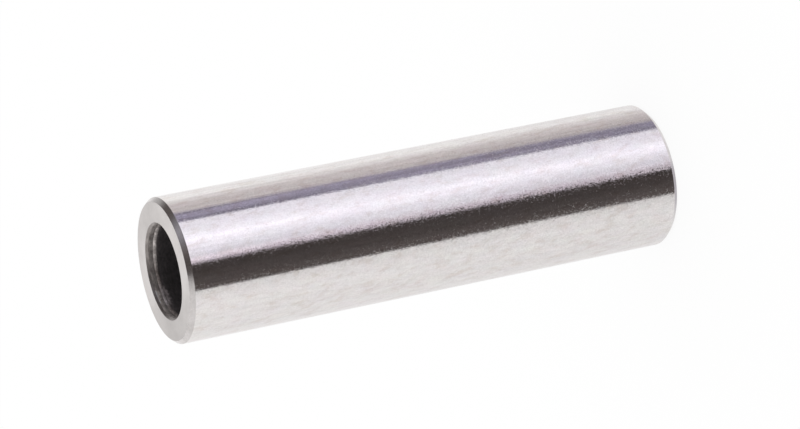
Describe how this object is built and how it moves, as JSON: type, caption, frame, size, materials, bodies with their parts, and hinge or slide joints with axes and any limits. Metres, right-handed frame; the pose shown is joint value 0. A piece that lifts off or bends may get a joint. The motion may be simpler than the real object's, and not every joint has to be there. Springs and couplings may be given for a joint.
{
  "type": "piston pin",
  "caption": "Hollow cylindrical steel piston pin with chamfered ends, a plain through bore and a short stepped counterbore at each mouth.",
  "frame": {"origin": "centre of the lower end face, on the pin's axis", "axes": "+Z along the pin's axis, from the end it stands on to the upper end; X and Y are alike, because the pin is round"},
  "size_m": [0.022, 0.022, 0.08],
  "materials": {
    "ground_steel": "case-hardened steel, centreless ground and polished outside, with ground end faces and a dark unmachined bore"
  },
  "bodies": {
    "root": {"piston_pin": "ground_steel"}
  },
  "joints": []
}
